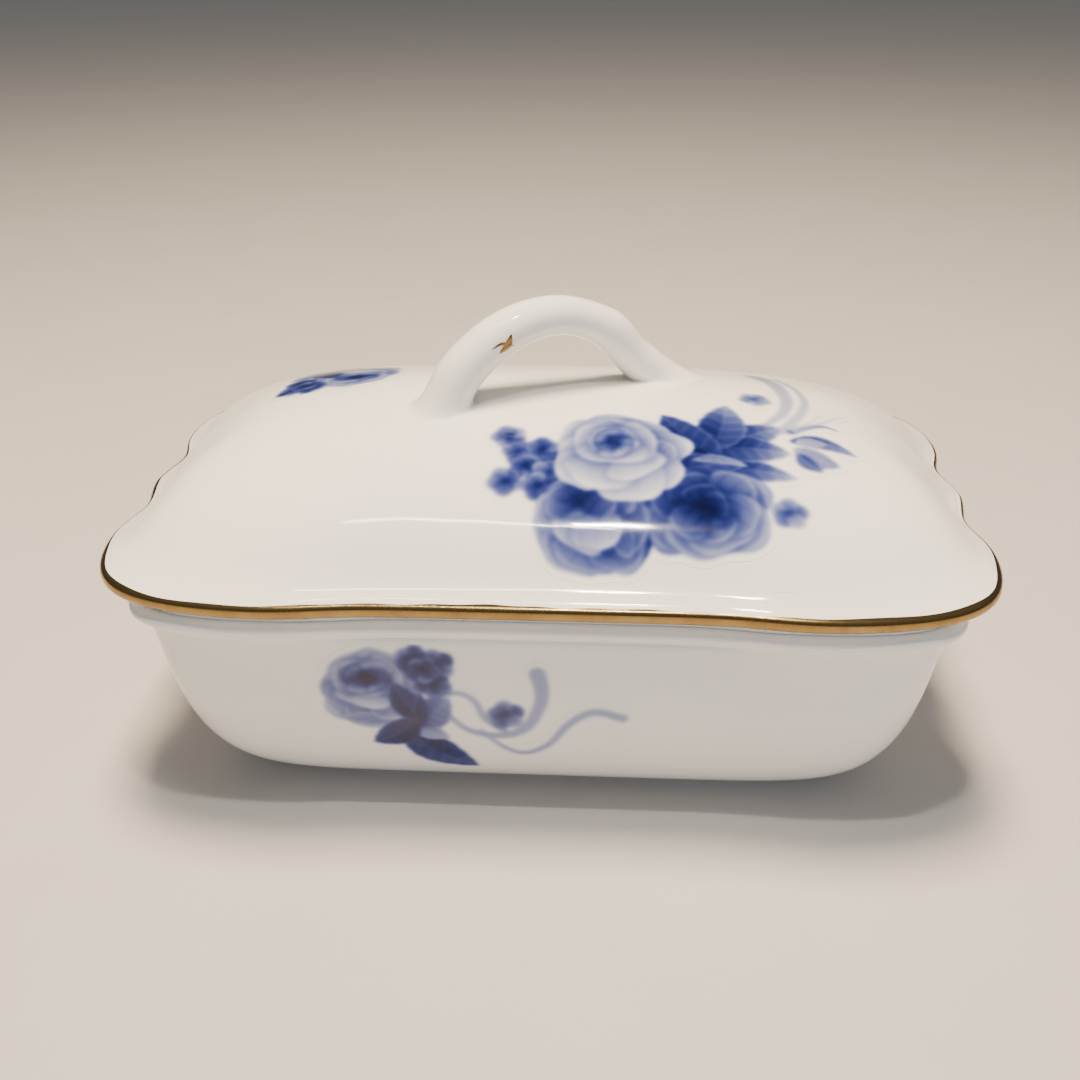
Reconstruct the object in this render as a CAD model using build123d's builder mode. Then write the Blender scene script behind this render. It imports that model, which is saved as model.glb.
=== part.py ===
from build123d import *
import os
from math import cos, exp, pi, sin

# A covered butter dish in glazed porcelain: a deep footed dish, and a domed lid with a lobed,
# gilded rim and a loop handle. Millimetres, +Z up, origin on the table under the dish's centre.
# X runs along the dish.

os.makedirs("parts", exist_ok=True)

# Lid, outside
LID_HALF_LENGTH = 95.0
LID_HALF_WIDTH = 60.0
RIM_TOP = 57.0
RIM_EDGE = 2.8
CROWN = 81.8
FLARE_REACH = 6.4
FLARE_HEIGHT = 0.10
DOME_BEND = 1.6
DOME_END_FULLNESS = 3.7
DOME_SIDE_FULLNESS = 1.95
LID_WALL = 3.4

# Lobes of the lid's short ends and waist of its long sides
NOTCH_DEPTH = 2.7
NOTCH_Y = 14.0
NOTCH_WIDTH = 8.9
MIDDLE_LOBE = 0.5
WAIST_DEPTH = 3.0
WAIST_X = 45.0
WAIST_EASE = 5.0

# How much of the lobes and of the waist the dish's lip takes up, and how fast they fade below it
LIP_NOTCH = 0.4
LIP_WAIST = 0.8
LIP_FADE = 3

# Corner sharpness: 2 is an ellipse, and larger is nearer a rectangle
RIM_CORNER = 5.4
CROWN_CORNER = 2.4
DISH_CORNER = 9.0
FOOT_CORNER = 7.5

# Dish
LIP_HALF_LENGTH = 86.8
LIP_HALF_WIDTH = 58.2
LIP_TOP = 52.0
LIP_EDGE = 2.2
LIP_UNDERSIDE = LIP_TOP - LIP_EDGE
LIP_OVERHANG = 2.2
NECK_HEIGHT = 47.0
DISH_WALL = 4.0
WALL_SLOPE = 0.15
HEEL_HEIGHT = 33.7
HEEL_REACH = 19.3
HEEL_FULLNESS = 2.54
FLOOR_THICKNESS = 3.6
HEEL_END = 1.4
BODY_BOTTOM = 2.4
FOOT_HALF_LENGTH = 62.0
FOOT_HALF_WIDTH = 33.5
FOOT_WIDTH = 3.0

# Locating flange under the lid
FLANGE_GAP = 1.6
FLANGE_WALL = 3.0
FLANGE_BOTTOM = 46.4
HOLLOW_SHOULDER = 62.0

# Gilding
GILT_THICKNESS = 0.35
GILT_MARGIN = 0.2

# Handle, in the upright plane through its two feet
HANDLE_TURN = 23.0
HANDLE_RADIUS = 4.7
LEFT_LEG_RADIUS = 5.0
FOOT_RADIUS = 6.4
ACCENT_LENGTH = 7.0
ACCENT_WIDTH = 2.2
ACCENT_THICKNESS = 0.25
ACCENT_TURN = 60.0
ACCENT_REACH = 20.0

# How finely the pieces are drawn: points round an outline and levels up a loft, which crowd
# towards the end where the surface turns fastest
OUTLINE_POINTS = 96
HEEL_LEVEL_COUNT = 11
NECK_LEVEL_COUNT = 5
CROWN_LEVEL_COUNT = 15
HOLLOW_LEVEL_COUNT = 9
CROWDING = 1.5
CROWN_FLAT = 0.2
HOLLOW_FLAT = 0.6
CUT_PAST = 1.0


def soft_rectangle(half_length, half_width, corner, notch=0.0, waist=0.0):
    """Points round a rounded rectangle with lobed ends and waisted sides, evenly spread in angle."""
    shrink = half_width / LID_HALF_WIDTH
    points = []
    for step in range(OUTLINE_POINTS):
        angle = 2 * pi * (step + 0.5) / OUTLINE_POINTS
        across, along = sin(angle), cos(angle)
        reach = (abs(along / half_length) ** corner + abs(across / half_width) ** corner) ** (-1 / corner)
        x, y = reach * along, reach * across
        lobe_place = abs(y) / shrink
        dent = exp(-(((lobe_place - NOTCH_Y) / NOTCH_WIDTH) ** 2)) * NOTCH_DEPTH
        dent += exp(-((lobe_place / NOTCH_Y) ** 2)) * MIDDLE_LOBE
        pinch = WAIST_DEPTH / (1 + exp((abs(x) * LID_HALF_LENGTH / half_length - WAIST_X) / WAIST_EASE))
        points.append((x * (1 - notch * dent / half_length), y * (1 - waist * pinch / half_width)))
    return points


def outline(height, half_length, half_width, corner, notch=0.0, waist=0.0):
    """One closed outline, filled, at a height."""
    with BuildSketch(Plane.XY.offset(height)) as ring:
        with BuildLine():
            Spline(*soft_rectangle(half_length, half_width, corner, notch, waist), periodic=True)
        make_face()
    return ring.sketch


def lid_outline(height, wall=0.0):
    """The lid's dome at a height; wall gives the inside of the dome instead."""
    rise = (height + wall - RIM_TOP) / (CROWN - RIM_TOP)
    flare = FLARE_REACH * (1 - exp(-rise / FLARE_HEIGHT))
    half_length = (LID_HALF_LENGTH - flare) * (1 - rise**DOME_BEND) ** (1 / DOME_END_FULLNESS) - wall
    half_width = (LID_HALF_WIDTH - flare) * (1 - rise**DOME_BEND) ** (1 / DOME_SIDE_FULLNESS) - wall
    corner = CROWN_CORNER + (RIM_CORNER - CROWN_CORNER) * (1 - rise)
    return outline(height, half_length, half_width, corner, (1 - rise) ** 2, 1 - rise)


def rim_outline(height, inset=0.0):
    """The lid's rim, or a line inside it."""
    return outline(height, LID_HALF_LENGTH - inset, LID_HALF_WIDTH - inset, RIM_CORNER, 1, 1)


def lip_outline(height, inset=0.0):
    """The dish's lip, or a line inside it; the lobes and the waist follow the lid's softly."""
    return outline(height, LIP_HALF_LENGTH - inset, LIP_HALF_WIDTH - inset, DISH_CORNER, LIP_NOTCH, LIP_WAIST)


def dish_outline(height, wall=0.0):
    """The dish's body at a height; wall gives the well inside it instead."""
    level = max(height - wall * FLOOR_THICKNESS / DISH_WALL, BODY_BOTTOM)
    depth = min(max((HEEL_HEIGHT - level) / (HEEL_HEIGHT - HEEL_END), 0.0), 1.0)
    heel = HEEL_REACH * (1 - (1 - depth**HEEL_FULLNESS) ** (1 / HEEL_FULLNESS))
    inset = LIP_OVERHANG + WALL_SLOPE * (LIP_TOP - level) + heel + wall
    corner = DISH_CORNER + (FOOT_CORNER - DISH_CORNER) * depth
    fade = (level / LIP_TOP) ** LIP_FADE
    half_length, half_width = LIP_HALF_LENGTH - inset, LIP_HALF_WIDTH - inset
    return outline(height, half_length, half_width, corner, LIP_NOTCH * fade, LIP_WAIST * fade)


def neck_outline(height):
    """The hollow curve from the dish's wall out to its lip."""
    rise = (height - NECK_HEIGHT) / (LIP_UNDERSIDE - NECK_HEIGHT)
    start = LIP_OVERHANG + WALL_SLOPE * (LIP_TOP - NECK_HEIGHT)
    return lip_outline(height, start * (1 - rise**2))


def levels(bottom, top, count, crowding=1.0):
    """Heights from bottom to top; crowding over 1 packs them near the bottom."""
    return [bottom + (top - bottom) * (step / (count - 1)) ** crowding for step in range(count)]


def levels_down(top, first, last, count):
    """Heights, lowest first, at depths from first to last under the top and crowded towards it."""
    return [top - depth for depth in levels(first, last, count, CROWDING)][::-1]


# The dish: a thrown-out lip on a sloping wall that turns under in a large rounded heel, and a
# low foot ring that the whole thing stands on.
HEEL_LEVELS = levels(BODY_BOTTOM, HEEL_HEIGHT, HEEL_LEVEL_COUNT, CROWDING)
WELL_LEVELS = levels(BODY_BOTTOM + FLOOR_THICKNESS, HEEL_HEIGHT, HEEL_LEVEL_COUNT, CROWDING)
FOOT_OUTSIDE = outline(BODY_BOTTOM, FOOT_HALF_LENGTH, FOOT_HALF_WIDTH, FOOT_CORNER)
FOOT_INSIDE = outline(BODY_BOTTOM, FOOT_HALF_LENGTH - FOOT_WIDTH, FOOT_HALF_WIDTH - FOOT_WIDTH, FOOT_CORNER)

with BuildPart() as dish:
    loft(
        [dish_outline(height) for height in HEEL_LEVELS]
        + [neck_outline(height) for height in levels(NECK_HEIGHT, LIP_UNDERSIDE, NECK_LEVEL_COUNT)]
        + [lip_outline(LIP_TOP)],
        ruled=True,
    )
    loft(
        [dish_outline(height, DISH_WALL) for height in WELL_LEVELS + [LIP_TOP + CUT_PAST]],
        ruled=True,
        mode=Mode.SUBTRACT,
    )
    extrude(FOOT_OUTSIDE - FOOT_INSIDE, -BODY_BOTTOM)
dish.part.label = "dish"

# The lid: a dome that sweeps out into a thin lobed rim, a seat that rests on the dish's lip, and
# a flange under it that keeps the lid from sliding off.
MOUTH_INSET = LIP_OVERHANG + DISH_WALL
HOLLOW_TOP = CROWN - LID_WALL
CROWN_LEVELS = levels_down(CROWN, CROWN_FLAT, CROWN - RIM_TOP, CROWN_LEVEL_COUNT)
HOLLOW_LEVELS = levels_down(HOLLOW_TOP, HOLLOW_FLAT, HOLLOW_TOP - HOLLOW_SHOULDER, HOLLOW_LEVEL_COUNT)

with BuildPart() as lid_solid:
    loft([lid_outline(height) for height in CROWN_LEVELS], ruled=True)
    extrude(rim_outline(RIM_TOP - RIM_EDGE, GILT_THICKNESS), RIM_EDGE)
    loft([lip_outline(LIP_TOP, GILT_THICKNESS), rim_outline(RIM_TOP - RIM_EDGE, GILT_THICKNESS)])

with BuildPart() as lid:
    add(lid_solid.part)
    extrude(lip_outline(FLANGE_BOTTOM, MOUTH_INSET + FLANGE_GAP), LIP_TOP - FLANGE_BOTTOM)
    loft(
        [
            lip_outline(FLANGE_BOTTOM, MOUTH_INSET + FLANGE_GAP + FLANGE_WALL),
            lip_outline(LIP_TOP, MOUTH_INSET + FLANGE_GAP + FLANGE_WALL),
            lid_outline(HOLLOW_SHOULDER, LID_WALL),
        ],
        ruled=True,
        mode=Mode.SUBTRACT,
    )
    loft([lid_outline(height, LID_WALL) for height in HOLLOW_LEVELS], ruled=True, mode=Mode.SUBTRACT)
lid.part.label = "lid"

# Gilding on the rim's edge: a fired line of gold all round, as a thin band.
with BuildPart() as lid_gilt_band:
    extrude(rim_outline(RIM_TOP - RIM_EDGE + GILT_MARGIN), RIM_EDGE - 2 * GILT_MARGIN)
    extrude(
        rim_outline(RIM_TOP - RIM_EDGE + GILT_MARGIN, GILT_THICKNESS),
        RIM_EDGE - 2 * GILT_MARGIN,
        mode=Mode.SUBTRACT,
    )
lid_gilt_band.part.label = "lid_gilt_band"

# The handle: a bent twig, set slantwise over the crown. Its left leg rises in one long curve and
# its right leg breaks at a knuckle. It is formed by itself and stuck to the lid with slip.
HANDLE_PLANE = Plane(
    origin=(0, 0, 0),
    x_dir=Vector(1, 0, 0).rotate(Axis.Z, HANDLE_TURN),
    z_dir=Vector(0, -1, 0).rotate(Axis.Z, HANDLE_TURN),
)
HANDLE_LINE = [
    (-25.2, 76.0),
    (-23.0, 85.0),
    (-16.6, 92.0),
    (-9.0, 96.6),
    (-0.8, 98.2),
    (7.6, 96.8),
    (13.4, 93.6),
    (18.8, 88.0),
    (25.4, 81.5),
    (30.0, 76.0),
]
# The rod's radius at each part of the way along its line: it swells towards both feet
HANDLE_SECTIONS = [(0, FOOT_RADIUS), (0.3, LEFT_LEG_RADIUS), (0.7, HANDLE_RADIUS), (1, FOOT_RADIUS)]


def handle_rod(extra=0.0):
    """The twig's rod, thicker by extra all round, down into the crown at both feet."""
    with BuildPart() as rod:
        with BuildLine(HANDLE_PLANE) as line:
            Spline(*HANDLE_LINE)
        for place, radius in HANDLE_SECTIONS:
            with BuildSketch(Plane(origin=line.line @ place, z_dir=line.line % place)):
                Circle(radius + extra)
        sweep(path=line.line, multisection=True)
    return rod.part


handle_solid = handle_rod()

with BuildPart() as handle:
    add(handle_solid)
    add(lid_solid.part, mode=Mode.SUBTRACT)
handle.part.label = "handle"

# A small leaf of gold on the front of the handle's left leg.
ACCENT_PLACE = (-11.8, 95.0)
gilded_rod = handle_rod(ACCENT_THICKNESS)

with BuildPart() as handle_gilt_accent:
    add(gilded_rod)
    with BuildSketch(HANDLE_PLANE):
        with Locations(Location((*ACCENT_PLACE, 0), (0, 0, ACCENT_TURN))):
            Ellipse(ACCENT_LENGTH / 2, ACCENT_WIDTH / 2)
    extrude(amount=ACCENT_REACH, mode=Mode.INTERSECT)
    add(handle.part, mode=Mode.SUBTRACT)
handle_gilt_accent.part.label = "handle_gilt_accent"

for piece in (dish, lid, lid_gilt_band, handle, handle_gilt_accent):
    export_step(piece.part, f"parts/{piece.part.label}.step")
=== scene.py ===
import math

import bpy
import numpy as np
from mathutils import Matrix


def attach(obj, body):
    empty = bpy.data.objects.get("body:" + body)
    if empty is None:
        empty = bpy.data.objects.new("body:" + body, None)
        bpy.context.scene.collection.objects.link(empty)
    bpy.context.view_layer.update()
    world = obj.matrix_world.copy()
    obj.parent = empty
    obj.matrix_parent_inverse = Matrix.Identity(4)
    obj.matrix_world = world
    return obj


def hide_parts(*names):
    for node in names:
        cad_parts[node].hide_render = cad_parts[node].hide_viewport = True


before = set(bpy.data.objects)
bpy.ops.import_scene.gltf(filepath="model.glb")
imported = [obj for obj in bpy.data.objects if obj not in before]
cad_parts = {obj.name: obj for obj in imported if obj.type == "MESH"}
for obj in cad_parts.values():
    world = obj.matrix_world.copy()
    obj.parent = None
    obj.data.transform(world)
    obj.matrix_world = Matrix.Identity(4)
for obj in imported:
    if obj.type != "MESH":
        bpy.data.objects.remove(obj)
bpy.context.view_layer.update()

# ---------------------------------------------------------------------------------------------
# The dish. Jiggered hard-paste porcelain: a sloping wall that turns under in a full round heel, a
# thrown-out lip and a low foot ring. It is dipped in a clear glaze and fired standing on the foot,
# so the glaze is wiped off the foot's underside and the bare body shows there.
# ---------------------------------------------------------------------------------------------
MM = 0.001
AROUND = 480

LID_HALF_LENGTH = 95.0
LID_HALF_WIDTH = 60.0
NOTCH_DEPTH = 2.7
NOTCH_Y = 14.0
NOTCH_WIDTH = 8.9
MIDDLE_LOBE = 0.5
WAIST_DEPTH = 3.0
WAIST_X = 45.0
WAIST_EASE = 5.0

LIP_HALF_LENGTH = 86.8
LIP_HALF_WIDTH = 58.2
LIP_TOP = 52.0
LIP_OVERHANG = 2.2
LIP_NOTCH = 0.4
LIP_WAIST = 0.8
LIP_FADE = 3
DISH_CORNER = 9.0
FOOT_CORNER = 7.5
DISH_WALL = 4.0
FLOOR_THICKNESS = 3.6
WALL_SLOPE = 0.15
HEEL_HEIGHT = 33.7
HEEL_END = 1.4
HEEL_REACH = 19.3
HEEL_FULLNESS = 2.54
BODY_BOTTOM = 2.4
NECK_HEIGHT = 47.0


def lobes(y, half_width):
    """How far the short end dips in at y: two notches and a slightly low middle lobe."""
    place = np.abs(y) * LID_HALF_WIDTH / half_width
    notches = NOTCH_DEPTH * np.exp(-(((place - NOTCH_Y) / NOTCH_WIDTH) ** 2))
    return notches + MIDDLE_LOBE * np.exp(-((place / NOTCH_Y) ** 2))


def pinch(x, half_length):
    """How far the long side draws in at x."""
    place = np.abs(x) * LID_HALF_LENGTH / half_length
    return WAIST_DEPTH / (1 + np.exp((place - WAIST_X) / WAIST_EASE))


def ring(row):
    """One closed line round the piece: half length, half width, height, corner, notch and waist."""
    half_length, half_width, height, corner, notch, waist = row
    angle = 2 * math.pi * (np.arange(AROUND) + 0.5) / AROUND
    along, across = np.cos(angle), np.sin(angle)
    reach = np.abs(along / half_length) ** corner + np.abs(across / half_width) ** corner
    x, y = along * reach ** (-1 / corner), across * reach ** (-1 / corner)
    bent_x = x * (1 - notch * lobes(y, half_width) / half_length)
    bent_y = y * (1 - waist * pinch(x, half_length) / half_width)
    return np.stack([bent_x, bent_y, np.full(AROUND, height)], axis=1)


def smooth(points, steps):
    """A soft curve through rows of numbers, with steps rows from each to the next."""
    rows = np.array(points, float)
    ends = np.vstack([2 * rows[0] - rows[1], rows, 2 * rows[-1] - rows[-2]])
    out = []
    for before, start, stop, after in zip(ends, ends[1:], ends[2:], ends[3:]):
        for t in np.arange(steps) / steps:
            out.append(
                0.5 * (2 * start + (stop - before) * t + (2 * before - 5 * start + 4 * stop - after) * t**2
                       + (3 * start - before - 3 * stop + after) * t**3)
            )
    return out + [rows[-1]]


def put_mesh(name, points, faces, material, body):
    """A smooth-shaded piece from points in millimetres."""
    mesh = bpy.data.meshes.new(name)
    mesh.from_pydata((np.asarray(points) * MM).tolist(), [], faces)
    mesh.polygons.foreach_set("use_smooth", [True] * len(mesh.polygons))
    mesh.materials.append(material)
    mesh.update()
    piece = bpy.data.objects.new(name, mesh)
    bpy.context.collection.objects.link(piece)
    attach(piece, body)
    return piece


def skin(rows, closed_ends=True):
    """Points and quads over rows of equal length, each row a closed loop."""
    count = len(rows[0])
    faces = []
    for row in range(len(rows) - 1):
        for step in range(count):
            after = (step + 1) % count
            faces.append((row * count + step, row * count + after,
                          (row + 1) * count + after, (row + 1) * count + step))
    points = np.vstack(rows)
    if closed_ends:
        first, last = len(points), len(points) + 1
        points = np.vstack([points, rows[0].mean(axis=0), rows[-1].mean(axis=0)])
        top = (len(rows) - 1) * count
        for step in range(count):
            after = (step + 1) % count
            faces.append((first, after, step))
            faces.append((last, top + step, top + after))
    return points, faces


def dish_row(height, wall=0.0):
    """The dish's outside at a height; wall gives the well inside it."""
    level = max(height - wall * FLOOR_THICKNESS / DISH_WALL, BODY_BOTTOM)
    depth = min(max((HEEL_HEIGHT - level) / (HEEL_HEIGHT - HEEL_END), 0.0), 1.0)
    heel = HEEL_REACH * (1 - (1 - depth**HEEL_FULLNESS) ** (1 / HEEL_FULLNESS))
    inset = LIP_OVERHANG + WALL_SLOPE * (LIP_TOP - level) + heel + wall
    corner = DISH_CORNER + (FOOT_CORNER - DISH_CORNER) * depth
    fade = (level / LIP_TOP) ** LIP_FADE
    return (LIP_HALF_LENGTH - inset, LIP_HALF_WIDTH - inset, height, corner,
            LIP_NOTCH * fade, LIP_WAIST * fade)


def lip_row(inset, height):
    """A line at a distance inside the lip's edge."""
    return (LIP_HALF_LENGTH - inset, LIP_HALF_WIDTH - inset, height, DISH_CORNER, LIP_NOTCH, LIP_WAIST)


def foot_row(half_length, half_width, height):
    """A line round the foot ring or the floor inside it."""
    return (half_length, half_width, height, FOOT_CORNER, 0.0, 0.0)


foot = [
    foot_row(0.5, 0.3, 2.3), foot_row(30, 16, 2.3), foot_row(55, 27.5, 2.2), foot_row(58.2, 29.7, 1.9),
    foot_row(59.0, 30.5, 1.1), foot_row(59.5, 31.0, 0.3), foot_row(60.1, 31.6, 0.0),
    foot_row(60.9, 32.4, 0.0), foot_row(61.6, 33.1, 0.3), foot_row(61.9, 33.4, 1.0),
    foot_row(62.2, 33.8, 1.7),
]
well_edge = LIP_OVERHANG + DISH_WALL
wall_heights = [BODY_BOTTOM + (NECK_HEIGHT - BODY_BOTTOM) * (step / 24) ** 1.4 for step in range(25)]
neck = [lip_row(2.75, 47.7), lip_row(2.35, 48.5), lip_row(1.6, 49.1), lip_row(0.8, 49.5),
        lip_row(0.2, 50.0), lip_row(0.0, 50.7), lip_row(0.15, 51.4), lip_row(0.7, 51.9),
        lip_row(1.6, LIP_TOP), lip_row(4.4, LIP_TOP), lip_row(5.6, 51.8),
        lip_row(well_edge - 0.1, 51.1), lip_row(well_edge + 0.2, 50.0)]
well_floor = BODY_BOTTOM + FLOOR_THICKNESS
well_heights = [well_floor + (48.5 - well_floor) * (step / 24) ** 1.6 for step in range(24, -1, -1)]
floor_length, floor_width = dish_row(well_floor, DISH_WALL)[:2]
floor_rows = [
    (floor_length * part, floor_width * part, well_floor, FOOT_CORNER, 0.0, 0.0)
    for part in (0.93, 0.8, 0.6, 0.4, 0.2, 0.01)
]
dish_rows = smooth(
    foot + [dish_row(height) for height in wall_heights] + neck
    + [dish_row(height, DISH_WALL) for height in well_heights] + floor_rows,
    2,
)


def linear(hex_colour):
    """An sRGB hex colour as linear RGBA."""
    parts = [int(hex_colour[place:place + 2], 16) / 255 for place in (1, 3, 5)]
    return tuple(p / 12.92 if p <= 0.04045 else ((p + 0.055) / 1.055) ** 2.4 for p in parts) + (1.0,)


def add_node(tree, kind, settings=None, links=None):
    """A node, with its properties and sockets set, and its inputs linked from other nodes' outputs."""
    node = tree.nodes.new(kind)
    for key, value in (settings or {}).items():
        if key in node.inputs:
            node.inputs[key].default_value = value
        else:
            setattr(node, key, value)
    for key, (source, output) in (links or {}).items():
        tree.links.new(source.outputs[output], node.inputs[key])
    return node


GLAZE_WHITE = "#f3f1ec"
GLAZE_POOLED = "#e9eae6"
SPECK_BROWN = "#6f6455"
SPECK_RARITY = 0.93


def porcelain_material(name, printed=False):
    """Hard-paste porcelain under a clear fired glaze: a clean, slightly cool white, a wet gloss with
    the faint ripple of glaze that ran and settled, and a few fired-in specks."""
    material = bpy.data.materials.new(name)
    material.use_nodes = True
    tree = material.node_tree
    shader = tree.nodes["Principled BSDF"]
    place = add_node(tree, "ShaderNodeTexCoord")
    cloud = add_node(tree, "ShaderNodeTexNoise", {"Scale": 1 / (24 * MM), "Detail": 3.0, "Roughness": 0.5},
                     {"Vector": (place, "Object")})
    tint = add_node(tree, "ShaderNodeMix", {"data_type": "RGBA"}, {"Factor": (cloud, "Fac")})
    tint.inputs[6].default_value = linear(GLAZE_WHITE)
    tint.inputs[7].default_value = linear(GLAZE_POOLED)
    # Fired-in specks, a few on the whole piece: one cell in many, 0.3 mm across
    cells = add_node(tree, "ShaderNodeTexVoronoi", {"Scale": 1 / (11 * MM)}, {"Vector": (place, "Object")})
    pick = add_node(tree, "ShaderNodeSeparateColor", {}, {"Color": (cells, "Color")})
    rare = add_node(tree, "ShaderNodeMath", {"operation": "GREATER_THAN"}, {0: (pick, "Red")})
    rare.inputs[1].default_value = SPECK_RARITY
    dot = add_node(tree, "ShaderNodeMapRange",
                   {"From Min": 0.012, "From Max": 0.03, "To Min": 0.75, "To Max": 0.0},
                   {"Value": (cells, "Distance")})
    speck = add_node(tree, "ShaderNodeMath", {"operation": "MULTIPLY"}, {0: (rare, 0), 1: (dot, 0)})
    body = add_node(tree, "ShaderNodeMix", {"data_type": "RGBA"}, {"Factor": (speck, 0)})
    tree.links.new(tint.outputs[2], body.inputs[6])
    body.inputs[7].default_value = linear(SPECK_BROWN)
    colour = body
    if printed:
        ink = add_node(tree, "ShaderNodeAttribute", {"attribute_name": "print"})
        colour = add_node(tree, "ShaderNodeMix",
                          {"data_type": "RGBA", "blend_type": "MULTIPLY", "Factor": 1.0})
        tree.links.new(body.outputs[2], colour.inputs[6])
        tree.links.new(ink.outputs["Color"], colour.inputs[7])
    tree.links.new(colour.outputs[2], shader.inputs["Base Color"])
    # The glaze's ripple: 7 mm waves a few hundredths of a millimetre high
    ripple = add_node(tree, "ShaderNodeTexNoise", {"Scale": 1 / (7 * MM), "Detail": 1.0},
                      {"Vector": (place, "Object")})
    bump = add_node(tree, "ShaderNodeBump", {"Strength": 0.12, "Distance": 0.25 * MM},
                    {"Height": (ripple, "Fac")})
    tree.links.new(bump.outputs["Normal"], shader.inputs["Normal"])
    # Handling leaves the gloss a little uneven
    wear = add_node(tree, "ShaderNodeTexNoise", {"Scale": 1 / (9 * MM), "Detail": 6.0, "Roughness": 0.7},
                    {"Vector": (place, "Object")})
    gloss = add_node(tree, "ShaderNodeMapRange",
                     {"From Min": 0.3, "From Max": 0.75, "To Min": 0.045, "To Max": 0.11},
                     {"Value": (wear, "Fac")})
    tree.links.new(gloss.outputs[0], shader.inputs["Roughness"])
    shader.inputs["IOR"].default_value = 1.52
    return material


glazed_porcelain = porcelain_material("glazed_porcelain")


def bisque_material():
    """Unglazed fired porcelain, ground flat: matt, faintly grey, with a fine sugary grain."""
    material = bpy.data.materials.new("bare_porcelain_ground_foot")
    material.use_nodes = True
    tree = material.node_tree
    shader = tree.nodes["Principled BSDF"]
    place = add_node(tree, "ShaderNodeTexCoord")
    grain = add_node(tree, "ShaderNodeTexNoise", {"Scale": 1 / (0.8 * MM), "Detail": 4.0},
                     {"Vector": (place, "Object")})
    tint = add_node(tree, "ShaderNodeMix", {"data_type": "RGBA"}, {"Factor": (grain, "Fac")})
    tint.inputs[6].default_value = linear("#d9d3c8")
    tint.inputs[7].default_value = linear("#c3bbae")
    tree.links.new(tint.outputs[2], shader.inputs["Base Color"])
    bump = add_node(tree, "ShaderNodeBump", {"Strength": 0.4, "Distance": 0.1 * MM},
                    {"Height": (grain, "Fac")})
    tree.links.new(bump.outputs["Normal"], shader.inputs["Normal"])
    shader.inputs["Roughness"].default_value = 0.75
    return material


points, faces = skin([ring(row) for row in dish_rows])
dish = put_mesh("dish_porcelain", points, faces, glazed_porcelain, "dish")
dish.data.materials.append(bisque_material())
BARE_HEIGHT = 0.35
for face in dish.data.polygons:
    if face.center.z < BARE_HEIGHT * MM:
        face.material_index = 1
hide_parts("dish")

# ---------------------------------------------------------------------------------------------
# The lid. One slip casting: a dome that sweeps out into a thin flared rim with three lobes at each
# end, a seat that rests on the dish's lip, and a locating flange that drops inside it. Glazed all
# over.
# ---------------------------------------------------------------------------------------------
RIM_TOP = 57.0
CROWN = 81.8
FLARE_REACH = 6.4
FLARE_HEIGHT = 0.10
RIM_CORNER = 5.4
CROWN_CORNER = 2.4
DOME_BEND = 1.6
DOME_END_FULLNESS = 3.7
DOME_SIDE_FULLNESS = 1.95
LID_WALL = 3.4
HOLLOW_SHOULDER = 62.0


def lid_row(height, wall=0.0):
    """The dome's outside at a height; wall gives its inside."""
    rise = (height + wall - RIM_TOP) / (CROWN - RIM_TOP)
    flare = FLARE_REACH * (1 - math.exp(-rise / FLARE_HEIGHT))
    half_length = (LID_HALF_LENGTH - flare) * (1 - rise**DOME_BEND) ** (1 / DOME_END_FULLNESS) - wall
    half_width = (LID_HALF_WIDTH - flare) * (1 - rise**DOME_BEND) ** (1 / DOME_SIDE_FULLNESS) - wall
    corner = CROWN_CORNER + (RIM_CORNER - CROWN_CORNER) * (1 - rise)
    return (half_length, half_width, height, corner, (1 - rise) ** 2, 1 - rise)


def rim_row(inset, height):
    """A line at a distance inside the rim's edge."""
    return (LID_HALF_LENGTH - inset, LID_HALF_WIDTH - inset, height, RIM_CORNER, 1.0, 1.0)


# Outside, from the crown down; the levels crowd towards the crown and the rim
DOME_LEVELS = 56
DOME_STOP = RIM_TOP + 0.75
crown_levels = [RIM_TOP + (CROWN - RIM_TOP) * (1 + math.cos(math.pi * step / DOME_LEVELS)) / 2
                for step in range(1, DOME_LEVELS)]
crown_levels[0:0] = [CROWN - 0.0003, CROWN - 0.0012]
crown_levels = [level for level in crown_levels if level > DOME_STOP]
outside = [lid_row(height) for height in crown_levels]
edge_profile = [(1.5, 57.50), (0.75, 57.22), (0.2, 56.75), (0.0, 56.1),
                (0.0, 55.3), (0.3, 54.65), (1.1, 54.2)]
edge = [rim_row(inset, height) for inset, height in edge_profile]
FLANGE_GAP = 1.6
seat_edge = well_edge + FLANGE_GAP
lip_start, rim_stop = np.array(lip_row(2.6, 0.0)), np.array(rim_row(1.1, 0.0))
# The underside lifts clear of the dish's lip, so a dark line shows between them
underside = []
for part, height in ((0.30, 53.95), (0.58, 53.65), (0.80, 53.1), (0.94, 52.4)):
    row = rim_stop + (lip_start - rim_stop) * part
    underside.append(tuple(row[:2]) + (height,) + tuple(row[3:]))
underside += [
    lip_row(3.0, 52.02), lip_row(seat_edge - 1.2, 52.0), lip_row(seat_edge - 0.3, 51.6),
    lip_row(seat_edge, 50.8),
    lip_row(seat_edge, 48.0), lip_row(seat_edge + 0.35, 46.9), lip_row(seat_edge + 1.1, 46.45),
    lip_row(seat_edge + 1.9, 46.45), lip_row(seat_edge + 2.65, 46.9), lip_row(seat_edge + 3.0, 48.0),
]
hollow_top = CROWN - LID_WALL
flange_inside = np.array(lip_row(seat_edge + 3.0, 52.0))
shoulder = np.array(lid_row(HOLLOW_SHOULDER, LID_WALL))
hollow = [flange_inside + (shoulder - flange_inside) * part for part in (0.0, 0.3, 0.6, 1.0)]
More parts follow.
